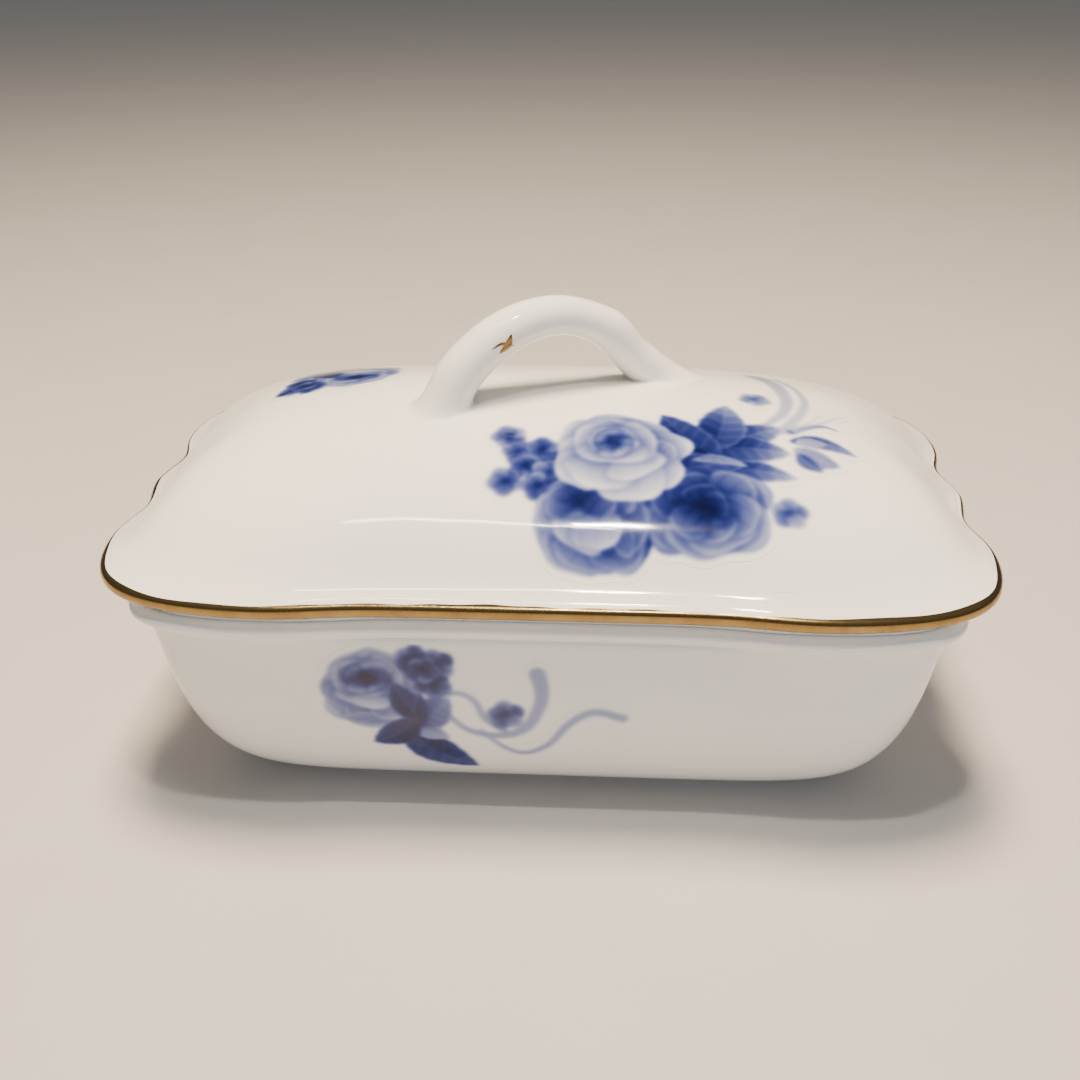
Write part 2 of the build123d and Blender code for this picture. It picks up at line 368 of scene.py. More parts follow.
hollow += [
    lid_row(HOLLOW_SHOULDER + (hollow_top - HOLLOW_SHOULDER) * (1 - (1 - step / 20) ** 2), LID_WALL)
    for step in range(1, 18)
]
hollow.append((0.5, 0.3, hollow_top - 0.25, CROWN_CORNER, 0.0, 0.0))
lid_rows = smooth(outside + edge + underside + [tuple(row) for row in hollow], 2)
points, faces = skin([ring(row) for row in reversed(lid_rows)])
lid = put_mesh("lid_porcelain", points, faces, glazed_porcelain, "lid")
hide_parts("lid")

# ---------------------------------------------------------------------------------------------
# The gilded rim. Bright gold brushed on over the glaze by hand on a turntable and fired once more:
# a line round the rim's edge whose borders wander a little, with the brush's laps in it.
# ---------------------------------------------------------------------------------------------
GOLD_LIFT = 0.05
BAND_STEPS = 14
BAND_START = 0.12
BAND_STOP = 0.90


def gilding_material():
    """Fired, burnished gold over porcelain: a warm brown-yellow metal, mirror-like with brush laps,
    rubbed thinner and darker where cloths and fingers pass."""
    material = bpy.data.materials.new("burnished_fired_gold")
    material.use_nodes = True
    tree = material.node_tree
    shader = tree.nodes["Principled BSDF"]
    place = add_node(tree, "ShaderNodeTexCoord")
    laps = add_node(tree, "ShaderNodeTexNoise", {"Scale": 1 / (6 * MM), "Detail": 5.0, "Roughness": 0.6},
                    {"Vector": (place, "Object")})
    tint = add_node(tree, "ShaderNodeMix", {"data_type": "RGBA"}, {"Factor": (laps, "Fac")})
    tint.inputs[6].default_value = linear("#b79a66")
    tint.inputs[7].default_value = linear("#7a6038")
    tree.links.new(tint.outputs[2], shader.inputs["Base Color"])
    gloss = add_node(tree, "ShaderNodeMapRange",
                     {"From Min": 0.3, "From Max": 0.7, "To Min": 0.16, "To Max": 0.34},
                     {"Value": (laps, "Fac")})
    tree.links.new(gloss.outputs[0], shader.inputs["Roughness"])
    shader.inputs["Metallic"].default_value = 1.0
    return material


gold = gilding_material()
# The band's two borders run round the edge's own curve, part way in from each end of it
edge_curve = smooth(edge_profile, 6)
edge_length = len(edge_curve) - 1
angle = 2 * math.pi * (np.arange(AROUND) + 0.5) / AROUND
wander = 0.035 * np.sin(5 * angle + 1.0) + 0.03 * np.sin(13 * angle + 2.2) + 0.02 * np.sin(37 * angle)
band_rows = []
for step in range(BAND_STEPS + 1):
    start = BAND_START + wander
    stop = BAND_STOP + 0.6 * np.roll(wander, AROUND // 3)
    part = (start + (stop - start) * step / BAND_STEPS) * edge_length
    whole = np.minimum(part.astype(int), edge_length - 1)
    curve = np.array(edge_curve)
    here = curve[whole] + (curve[whole + 1] - curve[whole]) * (part - whole)[:, None]
    slope = curve[whole + 1] - curve[whole]
    slope /= np.linalg.norm(slope, axis=1)[:, None]
    lifted = here + GOLD_LIFT * np.stack([slope[:, 1], -slope[:, 0]], axis=1)
    base = ring(rim_row(0.0, 0.0))
    inner = ring(rim_row(2.0, 0.0))
    inward = (inner - base) / 2.0
    row = base + inward * lifted[:, :1]
    row[:, 2] = lifted[:, 1]
    band_rows.append(row)
points, faces = skin(band_rows[::-1], closed_ends=False)
gilt_band = put_mesh("rim_gold_line", points, faces, gold, "lid")
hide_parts("lid_gilt_band")

# ---------------------------------------------------------------------------------------------
# The handle. A bent twig, pressed in a mould of its own, set slantwise over the crown and stuck
# on with slip before firing: one long curve on the left, a knuckle on the right, and both feet
# drawn out over the lid where the slip was smoothed off.
# ---------------------------------------------------------------------------------------------
HANDLE_TURN = math.radians(23.0)
HANDLE_LINE = [
    (-24.3, 81.5, 5.6), (-23.0, 85.2, 5.3), (-20.6, 88.6, 5.2), (-16.6, 92.2, 5.1), (-12.6, 94.9, 5.0),
    (-8.0, 97.0, 4.8), (-3.6, 98.1, 4.6), (1.2, 98.3, 4.5), (5.8, 97.4, 4.4), (10.2, 95.6, 4.5),
    (13.6, 93.5, 4.75), (16.0, 90.9, 4.75), (18.6, 87.9, 4.6), (21.6, 85.0, 4.8), (24.6, 82.6, 5.0),
]
HANDLE_AROUND = 72
FOOT_STEPS = 12
LONGEST_LEG = 30.0
SKIRT_SUNK = 0.02
FOOT_SUNK = 0.5


def lid_height(x, y):
    """The height of the dome's outside over a point, found by halving the range of levels."""
    low, high = np.zeros_like(x), np.full_like(x, 0.99999)
    for _ in range(36):
        rise = (low + high) / 2
        flare = FLARE_REACH * (1 - np.exp(-rise / FLARE_HEIGHT))
        half_length = (LID_HALF_LENGTH - flare) * (1 - rise**DOME_BEND) ** (1 / DOME_END_FULLNESS)
        half_width = (LID_HALF_WIDTH - flare) * (1 - rise**DOME_BEND) ** (1 / DOME_SIDE_FULLNESS)
        corner = CROWN_CORNER + (RIM_CORNER - CROWN_CORNER) * (1 - rise)
        straight_x, straight_y = x, y
        for _ in range(4):
            bent = (1 - rise) ** 2 * lobes(straight_y, half_width) / half_length
            drawn = (1 - rise) * pinch(straight_x, half_length) / half_width
            straight_x, straight_y = x / (1 - bent), y / np.maximum(1 - drawn, 0.2)
        reach = np.abs(straight_x / half_length) ** corner + np.abs(straight_y / half_width) ** corner
        low, high = np.where(reach < 1, rise, low), np.where(reach < 1, high, rise)
    return RIM_TOP + (CROWN - RIM_TOP) * low


handle_along = np.array([math.cos(HANDLE_TURN), math.sin(HANDLE_TURN), 0.0])
handle_across = np.array([-math.sin(HANDLE_TURN), math.cos(HANDLE_TURN), 0.0])
line = np.array(smooth(HANDLE_LINE, 6))
middle = line[:, :1] * handle_along + line[:, 1:2] * np.array([0, 0, 1.0])
tangent = np.gradient(middle, axis=0)
tangent /= np.linalg.norm(tangent, axis=1)[:, None]
outward = np.cross(tangent, handle_across)
round_angle = 2 * math.pi * np.arange(HANDLE_AROUND) / HANDLE_AROUND
rod_rows = []
# Slightly flatter on top than a true circle, as pressed clay settles
SETTLING = 0.03
for place, way, radius in zip(middle, outward, line[:, 2]):
    wide = radius * (1.0 + SETTLING * np.cos(2 * round_angle))
    rod_rows.append(place + wide[:, None] * (np.cos(round_angle)[:, None] * handle_across
                                             + np.sin(round_angle)[:, None] * way))


def foot_rows(start, direction, centre, spread, far_side):
    """Rows from a leg's last ring down onto the lid, drawn out tangent to the dome."""
    low, high = np.zeros(HANDLE_AROUND), np.full(HANDLE_AROUND, LONGEST_LEG)
    for _ in range(30):
        reach = (low + high) / 2
        point = start + reach[:, None] * direction
        above = point[:, 2] > lid_height(point[:, 0], point[:, 1])
        low, high = np.where(above, reach, low), np.where(above, high, reach)
    corner = start + low[:, None] * direction
    away = corner[:, :2] - centre[:2]
    away /= np.linalg.norm(away, axis=1)[:, None]
    lean = np.clip(away @ far_side[:2], 0, 1)
    skirt = corner.copy()
    skirt[:, :2] += away * (spread[0] + spread[1] * lean**2)[:, None]
    skirt[:, 2] = lid_height(skirt[:, 0], skirt[:, 1]) - SKIRT_SUNK
    rows = []
    for step in range(1, FOOT_STEPS + 1):
        t = step / FOOT_STEPS
        rows.append(start * (1 - t) ** 2 + corner * 2 * t * (1 - t) + skirt * t**2)
    sunk = skirt.copy()
    sunk[:, 2] -= FOOT_SUNK
    rows.append(sunk)
    return rows


# The legs are drawn out from a few rings above the lid; the right one further, on its outer side
LEG_CUT = 6
LEFT_SPREAD = (1.5, 0.8)
RIGHT_SPREAD = (1.6, 3.4)
last = len(rod_rows) - LEG_CUT - 1
left_leg = foot_rows(rod_rows[LEG_CUT], -tangent[LEG_CUT], middle[0], LEFT_SPREAD, -handle_along)
right_leg = foot_rows(rod_rows[last], tangent[last], middle[-1], RIGHT_SPREAD, handle_along)
points, faces = skin(left_leg[::-1] + rod_rows[LEG_CUT:last + 1] + right_leg)
handle = put_mesh("handle_porcelain", points, faces, glazed_porcelain, "lid")
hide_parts("handle")

# ---------------------------------------------------------------------------------------------
# The touch of gold on the handle's left leg: a small sprig, one leaf and its stalk, in the same
# fired gold as the rim, put on with two strokes of a fine brush.
# ---------------------------------------------------------------------------------------------
SPRIG_PLACE = (-12.4, 94.8)


def on_handle(along_mm, round_mm, lift):
    """Points on the handle's front, along the rod and round it from the sprig's place."""
    nearest = np.argmin(np.hypot(line[:, 0] - SPRIG_PLACE[0], line[:, 1] - SPRIG_PLACE[1]))
    steps = np.linalg.norm(np.diff(middle, axis=0), axis=1)
    distance = np.concatenate([[0], np.cumsum(steps)])
    where = np.interp(distance[nearest] + along_mm, distance, np.arange(len(middle)))
    low = where.astype(int)
    part = (where - low)[:, None]
    spot = middle[low] * (1 - part) + middle[low + 1] * part
    way = outward[low] * (1 - part) + outward[low + 1] * part
    radius = np.interp(where, np.arange(len(line)), line[:, 2])
    turn = math.pi + round_mm / radius
    wide = radius * (1.0 + SETTLING * np.cos(2 * turn)) + lift
    return spot + wide[:, None] * (np.cos(turn)[:, None] * handle_across + np.sin(turn)[:, None] * way)


# Each stroke: start and end along and round the rod, width, and bow
SPRIG_STROKES = [((-2.2, 1.0), (2.2, -1.0), 1.7, 0.7), ((-3.0, -0.8), (1.6, 1.8), 0.6, -0.9)]
SPRIG_LIFT = 0.06
STROKE_STEPS = 24
STROKE_ACROSS = 6
sprig_points, sprig_faces = [], []
for start, stop, width, bow in SPRIG_STROKES:
    first = len(sprig_points)
    for step in range(STROKE_STEPS + 1):
        t = step / STROKE_STEPS
        spine = np.array(start) * (1 - t) + np.array(stop) * t
        ahead = np.array(stop) - np.array(start)
        side = np.array([-ahead[1], ahead[0]]) / np.hypot(*ahead)
        spine = spine + side * bow * math.sin(math.pi * t)
        half = width / 2 * math.sin(math.pi * min(t * 0.96 + 0.02, 1)) ** 0.8
        for across in range(STROKE_ACROSS + 1):
            spot = spine + side * half * (2 * across / STROKE_ACROSS - 1)
            sprig_points.append(on_handle(spot[:1], spot[1:], SPRIG_LIFT)[0])
    for step in range(STROKE_STEPS):
        for across in range(STROKE_ACROSS):
            corner = first + step * (STROKE_ACROSS + 1) + across
            above = corner + STROKE_ACROSS + 1
            sprig_faces.append((corner, corner + 1, above + 1, above))
sprig = put_mesh("handle_gold_sprig", np.array(sprig_points), sprig_faces, gold, "lid")
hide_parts("handle_gilt_accent")

# ---------------------------------------------------------------------------------------------
# The rose prints. Cobalt in-glaze transfers: sprays of roses printed on film, slid on and fired
# until the blue sinks into the glaze, which softens every edge. Two on the lid, two on the dish.
# ---------------------------------------------------------------------------------------------
FILM_LIFT = 0.05
COBALT_ABSORBS = np.array([3.40, 3.00, 1.50])
SINK_BLUR = 0.32
FAINTEST = 0.004
FILM_MARGIN = 1.0
GRID = 0.3


class Film:
    """A sheet of print: how dense the cobalt is, and where there is any, on a grid of millimetres."""

    def __init__(self, low, high, spacing):
        self.x = np.arange(low[0], high[0], spacing)
        self.y = np.arange(low[1], high[1], spacing)
        self.across, self.up = np.meshgrid(self.x, self.y)
        self.spacing = spacing
        self.ink = np.zeros_like(self.across)
        self.cover = np.zeros_like(self.across)

    def lay(self, mask, tone):
        """Covers what is under the mask with a tone."""
        self.ink = self.ink * (1 - mask) + tone * mask
        self.cover = np.maximum(self.cover, mask)

    def shade_round(self, distance, depth, reach):
        """Darkens what is already printed close outside a shape."""
        fall = np.exp(-np.maximum(distance, 0) / reach)
        self.ink += depth * fall * self.cover * (distance > -0.3)

    def local(self, at, turn):
        """The grid's points seen from a place turned by an angle."""
        right, up = self.across - at[0], self.up - at[1]
        return right * math.cos(turn) + up * math.sin(turn), -right * math.sin(turn) + up * math.cos(turn)

    def sink(self, blur):
        """Spreads the ink the way it bleeds in the molten glaze."""
        reach = int(math.ceil(3 * blur / self.spacing))
        weights = np.exp(-0.5 * (np.arange(-reach, reach + 1) * self.spacing / blur) ** 2)
        weights /= weights.sum()
        for axis in (0, 1):
            self.ink = np.apply_along_axis(np.convolve, axis, self.ink, weights, "same")


def soft_edge(distance, width=0.35):
    """1 inside a shape, 0 outside, turning over the given width."""
    return 1 / (1 + np.exp(np.clip(distance / (width / 3), -40, 40)))


def petal(film, at, turn, length, width, base_tone, rim_tone, seed):
    """One petal, its base at the place and its rim outward along the turn."""
    out, side = film.local(at, turn)
    out = out - length * 0.42
    round_petal = np.arctan2(side / width, out / length)
    wobble = 0.06 * np.sin(3 * round_petal + seed) + 0.04 * np.sin(5 * round_petal + 2 * seed)
    size = np.sqrt((out / (length * 0.58)) ** 2 + (side / (width * 0.5)) ** 2) + 1e-6
    distance = (size - 1 - wobble) * min(length, width) * 0.5
    film.shade_round(distance, 0.22, 0.7)
    reach = np.clip(out / length + 0.42, 0, 1)
    tone = base_tone + (rim_tone - base_tone) * reach**1.2
    brushed = np.sin(side / width * 21 + 3.0 * np.sin(out / length * 2.4 + seed) + seed)
    veins = 0.22 * (base_tone + rim_tone) * 0.5 * np.maximum(brushed, 0) ** 3 * (1.1 - reach)
    turned_rim = -0.35 * rim_tone * np.exp(-(((size - 0.90) / 0.09) ** 2)) * (out > -0.1 * length)
    film.lay(soft_edge(distance), np.maximum(tone + veins + turned_rim, 0.04))


def rose(film, petals, heart, heart_size, heart_tone, seed):
    """A full rose painted petal by petal from the back, then its dark, curled heart."""
    for step, (x, up, turn, length, width, base_tone, rim_tone) in enumerate(petals):
        petal(film, (x, up), math.radians(turn), length, width, base_tone, rim_tone, seed + 1.7 * step)
    out, side = film.local(heart, 0.0)
    coil = np.hypot(out / heart_size[0], side / heart_size[1])
    around = np.arctan2(side, out)
    whirl = 0.5 + 0.5 * np.sin(2 * around + 5 * coil + seed)
    ragged = coil * (1 + 0.10 * np.sin(5 * around + seed) + 0.06 * np.sin(9 * around))
    film.ink += heart_tone * np.exp(-(ragged**2.2)) * (0.72 + 0.28 * whirl)
    film.ink += 0.30 * heart_tone * np.exp(-(((coil - 1.75) / 0.35) ** 2)) * whirl * film.cover


def leaf(film, base, tip, width, dark, light, bend=0.0):
    """A pointed leaf: dark at the stalk, pale at the tip and along its rim, with a midrib and veins."""
    base, tip = np.array(base, float), np.array(tip, float)
    length = np.hypot(*(tip - base))
    out, side = film.local(base, math.atan2(tip[1] - base[1], tip[0] - base[0]))
    t = np.clip(out / length, 0, 1)
    side = side - bend * length * np.sin(math.pi * t)
    half = width / 2 * np.sin(math.pi * t**0.85) ** 0.75 * (1 + 0.03 * np.sin(t * 38)) + 0.02
    beyond = np.maximum(out - length, -out)
    distance = np.maximum(np.abs(side) - half, beyond)
    film.shade_round(distance, 0.16, 0.5)
    tone = dark + (light - dark) * t**1.5
    tone = tone + 0.22 * dark * np.tanh(side / 0.8) * (1 - t)
    tone = tone - 0.30 * tone * np.exp(-((side / 0.22) ** 2)) * (t > 0.06) * (t < 0.92)
    veins = np.exp(-(((np.mod(t * 6 - np.abs(side) / width * 1.6, 1) - 0.5) / 0.16) ** 2))
    tone = tone * (1 - 0.16 * veins * (np.abs(side) > 0.2))
    tone = tone * (1 - 0.45 * np.exp(-((np.minimum(distance, 0) / 0.55) ** 2)))
    film.lay(soft_edge(distance), np.maximum(tone, 0.05))


def blossom(film, at, radius, tone, turn):
    """A small flat blossom of five round petals with a darker eye."""
    for step in range(5):
        way = turn + 2 * math.pi * step / 5
        spot = (at[0] + 0.52 * radius * math.cos(way), at[1] + 0.52 * radius * math.sin(way))
        out, side = film.local(spot, way)
        size = np.hypot(out / (0.54 * radius), side / (0.52 * radius))
        film.shade_round((size - 1) * 0.5 * radius, 0.25, 0.35)
        shade = tone * (0.86 + 0.22 * math.sin(2.4 * step + 3 * turn))
        shade = shade + 0.28 * tone * np.exp(-(((out + 0.4 * radius) / (0.35 * radius)) ** 2))
        shade = shade - 0.20 * tone * np.exp(-(((size - 0.75) / 0.18) ** 2)) * (out > 0)
        film.lay(soft_edge((size - 1) * 0.5 * radius, 0.5), shade)
    out, side = film.local(at, 0)
    film.ink += 0.50 * tone * np.exp(-((np.hypot(out, side) / (0.24 * radius)) ** 2))


def stroke(film, points, start_width, stop_width, tone, edge_tone=0.0):
    """A ribbon or blade along a soft line, its width running from one value to the other."""
    path = np.array(smooth([tuple(point) for point in points], 14))
    best = np.full_like(film.across, 1e9)
    along = np.zeros_like(best)
    for step, (x, y) in enumerate(path):
        gap = (film.across - x) ** 2 + (film.up - y) ** 2
        nearer = gap < best
        best = np.where(nearer, gap, best)
        along = np.where(nearer, step / (len(path) - 1), along)
    half = start_width / 2 + (stop_width - start_width) / 2 * along
    distance = np.sqrt(best) - half
    inside = tone + edge_tone * np.exp(-((distance / 0.28) ** 2))
    film.lay(soft_edge(distance, 0.5), inside)


def lay_film(film, name, place_on, body, turned=False):
    """Cuts the film round the print and lays it on the glaze; turned puts it on the far side."""
    film.sink(SINK_BLUR)
    worn = np.clip(film.ink, 0, None)
    wanted = worn > FAINTEST
    margin = int(FILM_MARGIN / film.spacing)
    grown = wanted.copy()
    for shift in range(1, margin + 1):
        for axis in (0, 1):
            grown |= np.roll(wanted, shift, axis) | np.roll(wanted, -shift, axis)
    index = -np.ones(grown.shape, int)
    index[grown] = np.arange(grown.sum())
    corners = [index[:-1, :-1], index[:-1, 1:], index[1:, 1:], index[1:, :-1]]
    quads = np.stack(corners, axis=-1).reshape(-1, 4)
    quads = quads[(quads >= 0).all(axis=1)]
    used, relabelled = np.unique(quads, return_inverse=True)
    points = place_on(film.across[grown][used], film.up[grown][used])
    if turned:
        points = points * np.array([-1.0, -1.0, 1.0])
    sheet = put_mesh(name, points, relabelled.reshape(-1, 4).tolist(), printed_porcelain, body)
    shade = np.exp(-worn[grown][used][:, None] * COBALT_ABSORBS)
    colours = np.concatenate([shade, np.ones((len(shade), 1))], axis=1)
    layer = sheet.data.attributes.new("print", "FLOAT_COLOR", "POINT")
    layer.data.foreach_set("color", colours.astype(np.float32).ravel())
    return sheet


printed_porcelain = porcelain_material("cobalt_print_in_glaze", printed=True)

# On the lid the film's up runs up the dome's slope, measured along the surface from one line
PRINT_ZERO_Y = -30.0
PRINT_MIDDLE_X = 25.0
SLOPE_STEP = 0.2
slope_y = np.linspace(-58.0, 40.0, 800)
slope_z = lid_height(np.full_like(slope_y, PRINT_MIDDLE_X), slope_y)
slope_run = np.concatenate([[0], np.cumsum(np.hypot(np.diff(slope_y), np.diff(slope_z)))])
slope_run -= np.interp(PRINT_ZERO_Y, slope_y, slope_run)


def on_lid(x, up):
    """On the front of the dome, lifted off the glaze along its normal."""
    y = np.interp(up, slope_run, slope_y)
    z = lid_height(x, y)
    step = SLOPE_STEP
    dx = (lid_height(x + step, y) - lid_height(x - step, y)) / (2 * step)
    dy = (lid_height(x, y + step) - lid_height(x, y - step)) / (2 * step)
    normal = np.stack([-dx, -dy, np.ones_like(dx)], axis=1)
    normal /= np.linalg.norm(normal, axis=1)[:, None]
    return np.stack([x, y, z], axis=1) + FILM_LIFT * normal


bouquet = Film((-14.0, -29.0), (68.0, 50.0), GRID)
stroke(bouquet, [(46.6, 49.0), (50.4, 42.0), (51.9, 35.0), (52.2, 29.0), (50.6, 22.5), (47.6, 17.8),
                 (45.0, 15.0)], 4.2, 1.2, 0.27, 0.06)
stroke(bouquet, [(51.6, 48.0), (55.2, 40.0), (56.5, 32.0), (55.0, 24.5), (52.6, 19.5), (50.0, 14.6)],
       1.2, 2.4, 0.24, 0.06)
leaf(bouquet, (31.0, -1.0), (51.6, -1.2), 7.0, 1.75, 0.30, 0.06)
leaf(bouquet, (37.0, 8.0), (50.0, 15.6), 7.6, 1.60, 0.30, 0.02)
leaf(bouquet, (33.0, 6.0), (51.0, 6.4), 9.0, 1.95, 0.24, 0.04)
leaf(bouquet, (34.0, 5.5), (38.2, 23.4), 10.4, 1.75, 0.40, -0.05)
leaf(bouquet, (35.6, 3.0), (24.2, 17.6), 9.6, 1.85, 1.10, 0.06)
leaf(bouquet, (22.0, -3.6), (41.0, 1.8), 8.4, 1.30, 1.10, 0.06)
leaf(bouquet, (30.0, 2.2), (41.6, 1.0), 2.6, 0.95, 0.60, 0.10)
cluster = [(-5.6, 3.4, 3.4), (-4.0, -0.8, 3.4), (1.4, 1.6, 3.4), (-8.0, 8.2, 3.6),
           (-0.9, 4.4, 3.5), (0.6, -2.4, 3.6), (-8.0, -4.9, 3.6), (-1.0, -6.0, 3.6)]
for step, (x, up, size) in enumerate(cluster):
    blossom(bouquet, (x, up), size, 0.88 + 0.14 * math.sin(2.1 * step), 0.5 + 0.9 * step)
leaf(bouquet, (17.0, -8.0), (19.6, -23.2), 7.4, 1.30, 1.00, 0.05)
rose(bouquet, [
    (33, -10, 20, 13.0, 15, 0.85, 0.50), (33, -10, 75, 8.0, 20, 1.25, 1.15),
    (31, -10, 150, 12.0, 15, 1.35, 1.05), (32, -11, -150, 12.5, 14, 1.05, 0.70),
    (33, -11, -30, 13.0, 15, 0.80, 0.42), (33, -12, -110, 10.0, 15, 0.95, 0.50),
    (34, -12, -70, 9.0, 14, 0.85, 0.36), (30, -9, 165, 8.5, 12, 1.45, 0.95),
    (31, -8, 120, 6.5, 11, 1.50, 1.00), (35, -8, 40, 8.5, 11, 1.15, 0.62),
    (35, -11, -15, 8.5, 11, 1.10, 0.48), (33, -12, -70, 6.5, 10, 1.20, 0.60),
    (31, -12, -135, 6.0, 9, 1.30, 0.72), (32, -9, 100, 4.5, 8, 1.60, 1.05),
    (33, -10, 20, 4.0, 7, 1.55, 0.90),
], (33.0, -10.6), (3.6, 2.6), 0.75, 1.0)
rose(bouquet, [
    (10, -15, 190, 11.5, 14, 0.60, 0.30), (10, -15, -130, 11.5, 14, 0.62, 0.42),
    (10, -16, -95, 9.0, 15, 0.80, 0.60), (12, -15, -55, 11.0, 12, 0.95, 0.55),
    (12, -14, -5, 9.5, 15, 1.05, 0.85), (11, -12, 60, 9.0, 12, 0.95, 0.60),
    (8, -12, 115, 8.8, 13, 0.85, 0.42), (6, -13, 160, 7.8, 11, 0.70, 0.36),
    (14, -12, -70, 10.5, 5, 1.05, 0.80), (9, -14, -120, 6.8, 12, 0.55, 0.28),
    (10, -13, -70, 7.2, 11, 0.62, 0.22), (7, -10, 100, 5.4, 10, 1.25, 0.85),
    (9, -10, 30, 5.8, 9, 1.20, 0.72), (5, -10, 175, 4.6, 8, 1.10, 0.60),
], (7.0, -9.4), (3.4, 2.2), 0.55, 2.3)
rose(bouquet, [
    (15, 6, 95, 11.0, 17, 0.42, 0.27), (13, 6, 150, 10.8, 14, 0.40, 0.24),
    (18, 6, 45, 9.6, 14, 0.48, 0.34), (12, 4, 200, 10.0, 13, 0.30, 0.20),
    (20, 5, 8, 10.4, 11, 0.80, 0.12), (19, 2, -32, 10.5, 11, 0.62, 0.12),
    (11, 2, -140, 10.0, 12, 0.40, 0.14), (16, 1, -72, 11.0, 15, 0.46, 0.10),
    (12, 1, -105, 7.4, 15, 0.42, 0.09), (22, 4, 20, 5.2, 7, 0.75, 0.34),
    (17, 3, -60, 6.8, 13, 0.40, 0.10), (14, 7, 90, 8.4, 15, 0.52, 0.32),
    (14, 7, 170, 8.4, 14, 0.50, 0.27), (15, 7, 10, 8.0, 13, 0.55, 0.25),
    (14, 7, -90, 6.6, 15, 0.50, 0.16), (14, 7, 60, 5.2, 9, 0.80, 0.36),
    (14, 7, 150, 5.2, 9, 0.70, 0.34), (14, 7, -60, 4.6, 9, 0.62, 0.22),
], (13.9, 6.9), (2.4, 2.5), 1.15, 0.4)
blossom(bouquet, (49.1, -10.9), 3.7, 0.72, 0.3)
blossom(bouquet, (45.0, 28.0), 3.4, 0.55, 1.0)
leaf(bouquet, (50.8, 11.0), (65.0, 9.8), 4.8, 1.05, 0.60, 0.12)
leaf(bouquet, (52.0, 11.0), (59.0, 12.0), 3.4, 0.42, 0.60, 0.0)
leaf(bouquet, (51.4, 8.4), (60.8, 4.6), 6.4, 0.42, 0.62, -0.06)
leaf(bouquet, (52.0, 7.0), (57.0, 2.0), 4.4, 1.05, 0.85, -0.08)
stroke(bouquet, [(51.6, 14.6), (55.0, 17.2), (59.0, 19.4), (62.0, 19.0)], 1.6, 0.2, 0.85)
stroke(bouquet, [(52.4, 15.2), (58.0, 20.0), (64.4, 27.4)], 1.0, 0.12, 0.36)
stroke(bouquet, [(52.2, 15.4), (56.0, 20.0), (59.6, 25.6)], 0.8, 0.12, 0.28)
lay_film(bouquet, "lid_rose_print", on_lid, "lid")


def small_spray(ribbons=True):
    """The smaller spray: one pale rose, blossoms, dark leaves, and ribbons that wander off."""
    film = Film((-13.0, -31.0), (57.0, 8.2), GRID)
    if ribbons:
        stroke(film, [(14.0, -5.8), (19.5, -4.2), (23.0, -6.4), (25.0, -11.0), (29.0, -14.6)],
               0.9, 1.6, 0.34, 0.06)
        stroke(film, [(17.0, -10.0), (21.5, -14.6), (28.0, -16.0), (33.4, -13.4), (36.4, -7.0),
                      (36.8, -2.6), (36.0, 1.2)], 1.0, 3.4, 0.36, 0.06)
        stroke(film, [(24.0, -14.6), (28.6, -19.8), (33.0, -21.8), (38.0, -18.6), (42.4, -12.0),
                      (47.6, -8.4), (53.6, -9.8)], 0.8, 2.0, 0.36, 0.06)
        blossom(film, (29.4, -9.9), 3.7, 0.95, 0.5)
    else:
        stroke(film, [(12.0, 3.0), (14.0, 5.4), (15.4, 7.4)], 0.7, 0.15, 0.45)
    leaf(film, (7.6, -14.6), (22.6, -28.4), 9.4, 1.70, 1.05, -0.05)
    leaf(film, (9.0, -13.6), (17.4, -17.4), 5.0, 0.60, 0.40, 0.0)
    leaf(film, (9.6, -13.6), (17.8, -5.6), 8.4, 1.15, 0.50, -0.04)
    leaf(film, (11.0, -12.0), (1.0, -19.4), 7.4, 1.85, 1.30, 0.05)
    rose(film, [
        (0, -3, 180, 8.4, 12, 0.45, 0.28), (0, -2, 110, 8.0, 13, 0.36, 0.24),
        (2, -2, 50, 9.4, 13, 0.36, 0.22), (2, -3, 0, 9.4, 12, 0.45, 0.26),
        (0, -4, -135, 9.6, 12, 0.55, 0.34), (2, -5, -100, 9.6, 12, 0.62, 0.48),
        (3, -4, -45, 9.0, 12, 0.62, 0.36), (1, -3, -100, 5.8, 13, 0.42, 0.12),
        (0, -1, 160, 6.2, 10, 0.62, 0.24), (2, -1, 20, 6.4, 11, 0.62, 0.20),
        (1, -1, 90, 5.2, 11, 0.66, 0.26), (1, -1, -80, 4.4, 9, 0.70, 0.18),
    ], (0.9, -0.6), (3.0, 2.2), 1.55, 0.8)
    leaf(film, (11.0, -12.0), (6.0, -1.8), 6.4, 1.75, 1.30, 0.0)
    leaf(film, (12.0, -14.0), (11.6, -4.4), 3.4, 1.95, 1.50, 0.0)
    leaf(film, (3.0, -10.6), (-5.6, -11.6), 3.0, 0.75, 0.60, 0.05)
    for x, up, size, turn in ((14.6, -2.0, 3.6, 0.9), (10.8, 4.2, 3.4, 0.1),
                              (15.4, 3.0, 3.6, 0.6), (12.8, 1.6, 3.6, 1.1)):
        blossom(film, (x, up), size, 1.20, turn)
    return film


SPRAY_X = -36.5
SPRAY_Z = 38.6


